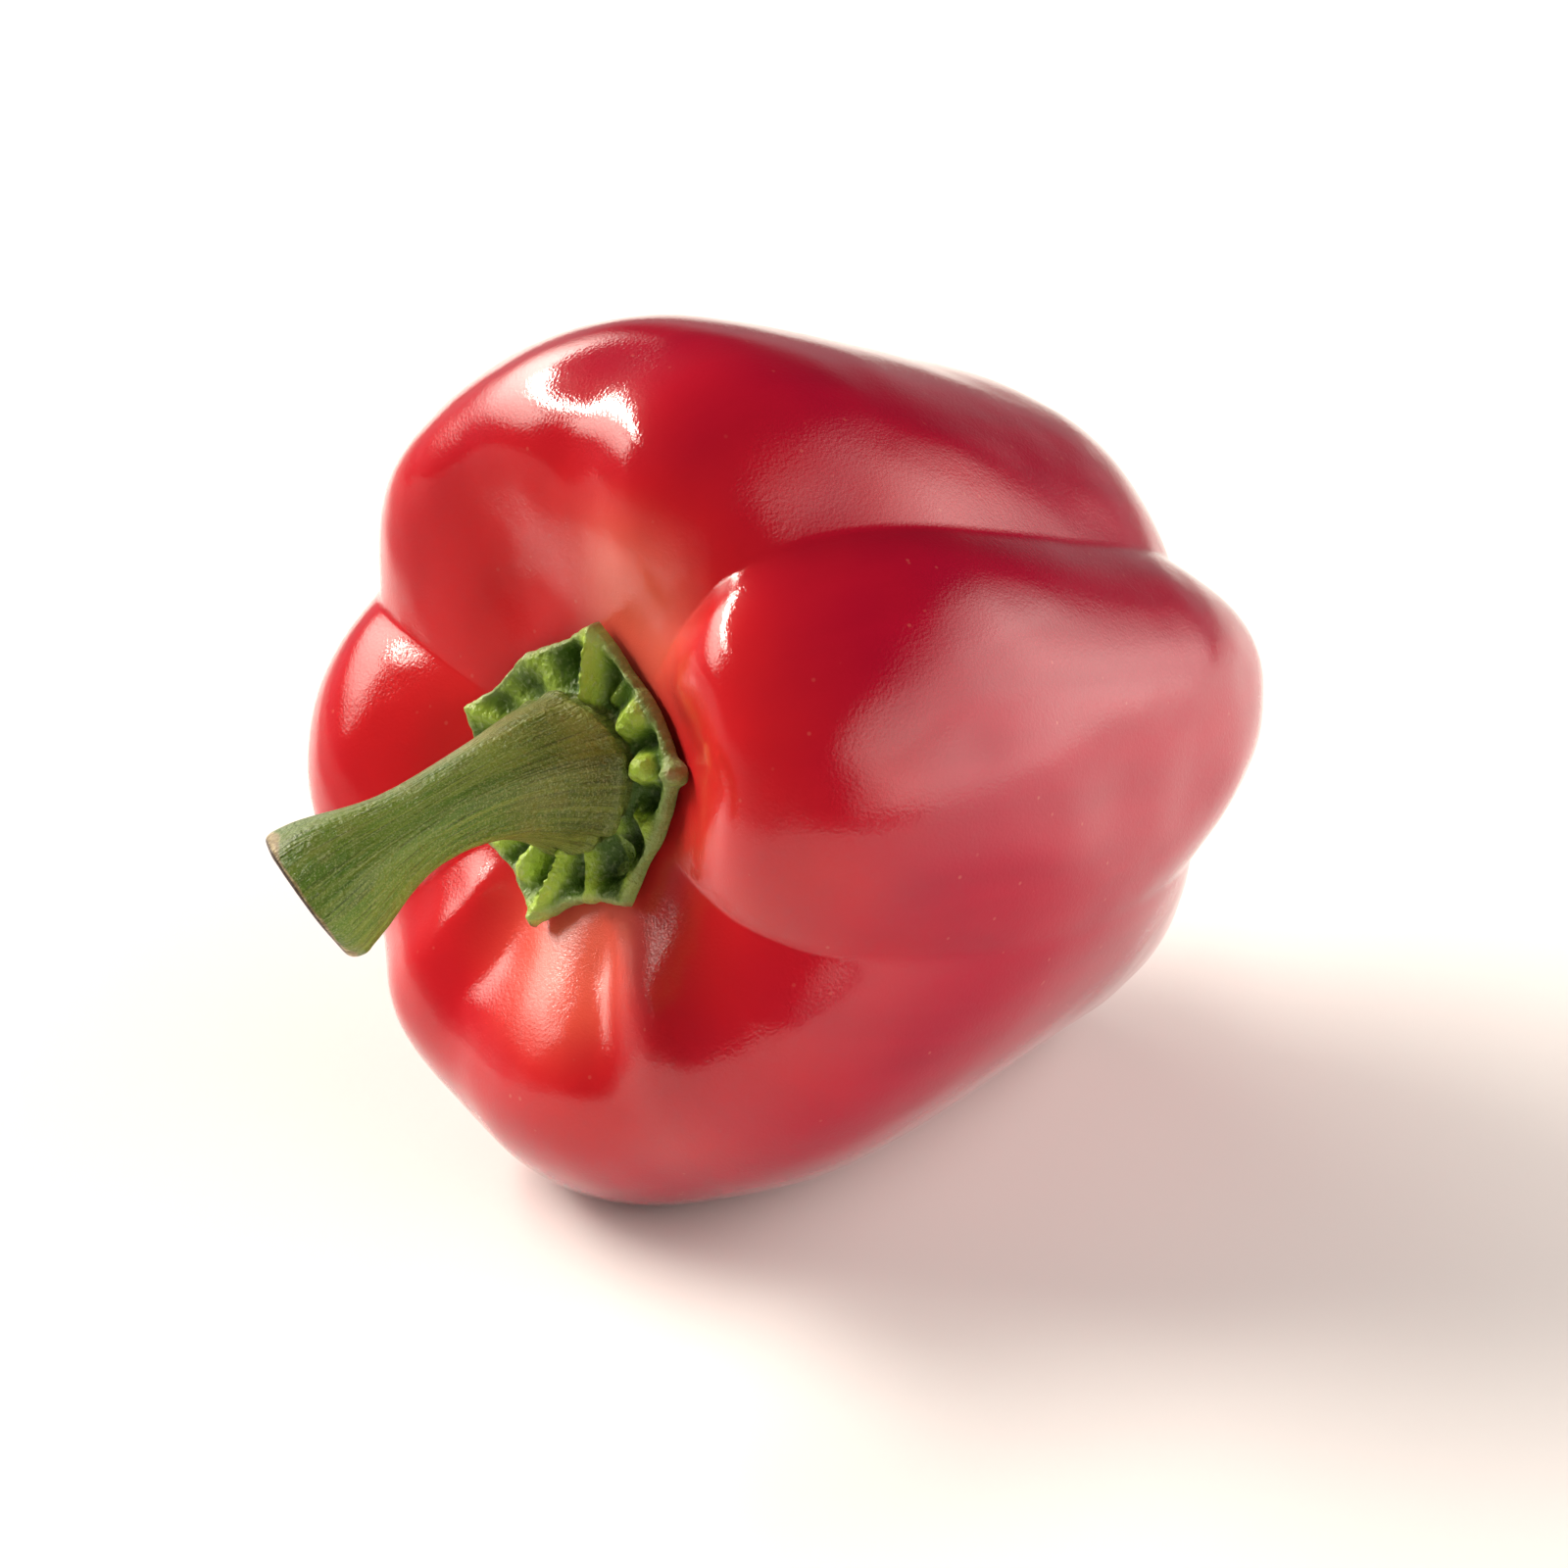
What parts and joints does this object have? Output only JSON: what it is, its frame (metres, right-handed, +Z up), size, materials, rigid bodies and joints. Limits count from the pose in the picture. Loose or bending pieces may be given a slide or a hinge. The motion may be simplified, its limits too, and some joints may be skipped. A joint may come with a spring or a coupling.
{
  "type": "bell pepper",
  "caption": "Large blocky sweet pepper with rounded lobes, soft furrows, a star-shaped green calyx and a curved cut stem, lying on its side.",
  "frame": {"origin": "centre of the bounding box's bottom, on the surface that the pepper lies on", "axes": "+X from the stem end to the blossom end, +Z up, -Y towards the viewer"},
  "size_m": [0.1157, 0.0851, 0.0866],
  "materials": {
    "skin": "smooth waxy glossy red skin, a little orange round the calyx",
    "green": "satin leathery green calyx and ribbed green stem with a brown cut end"
  },
  "bodies": {
    "root": {"fruit": "skin", "calyx_and_stem": "green"}
  },
  "joints": []
}
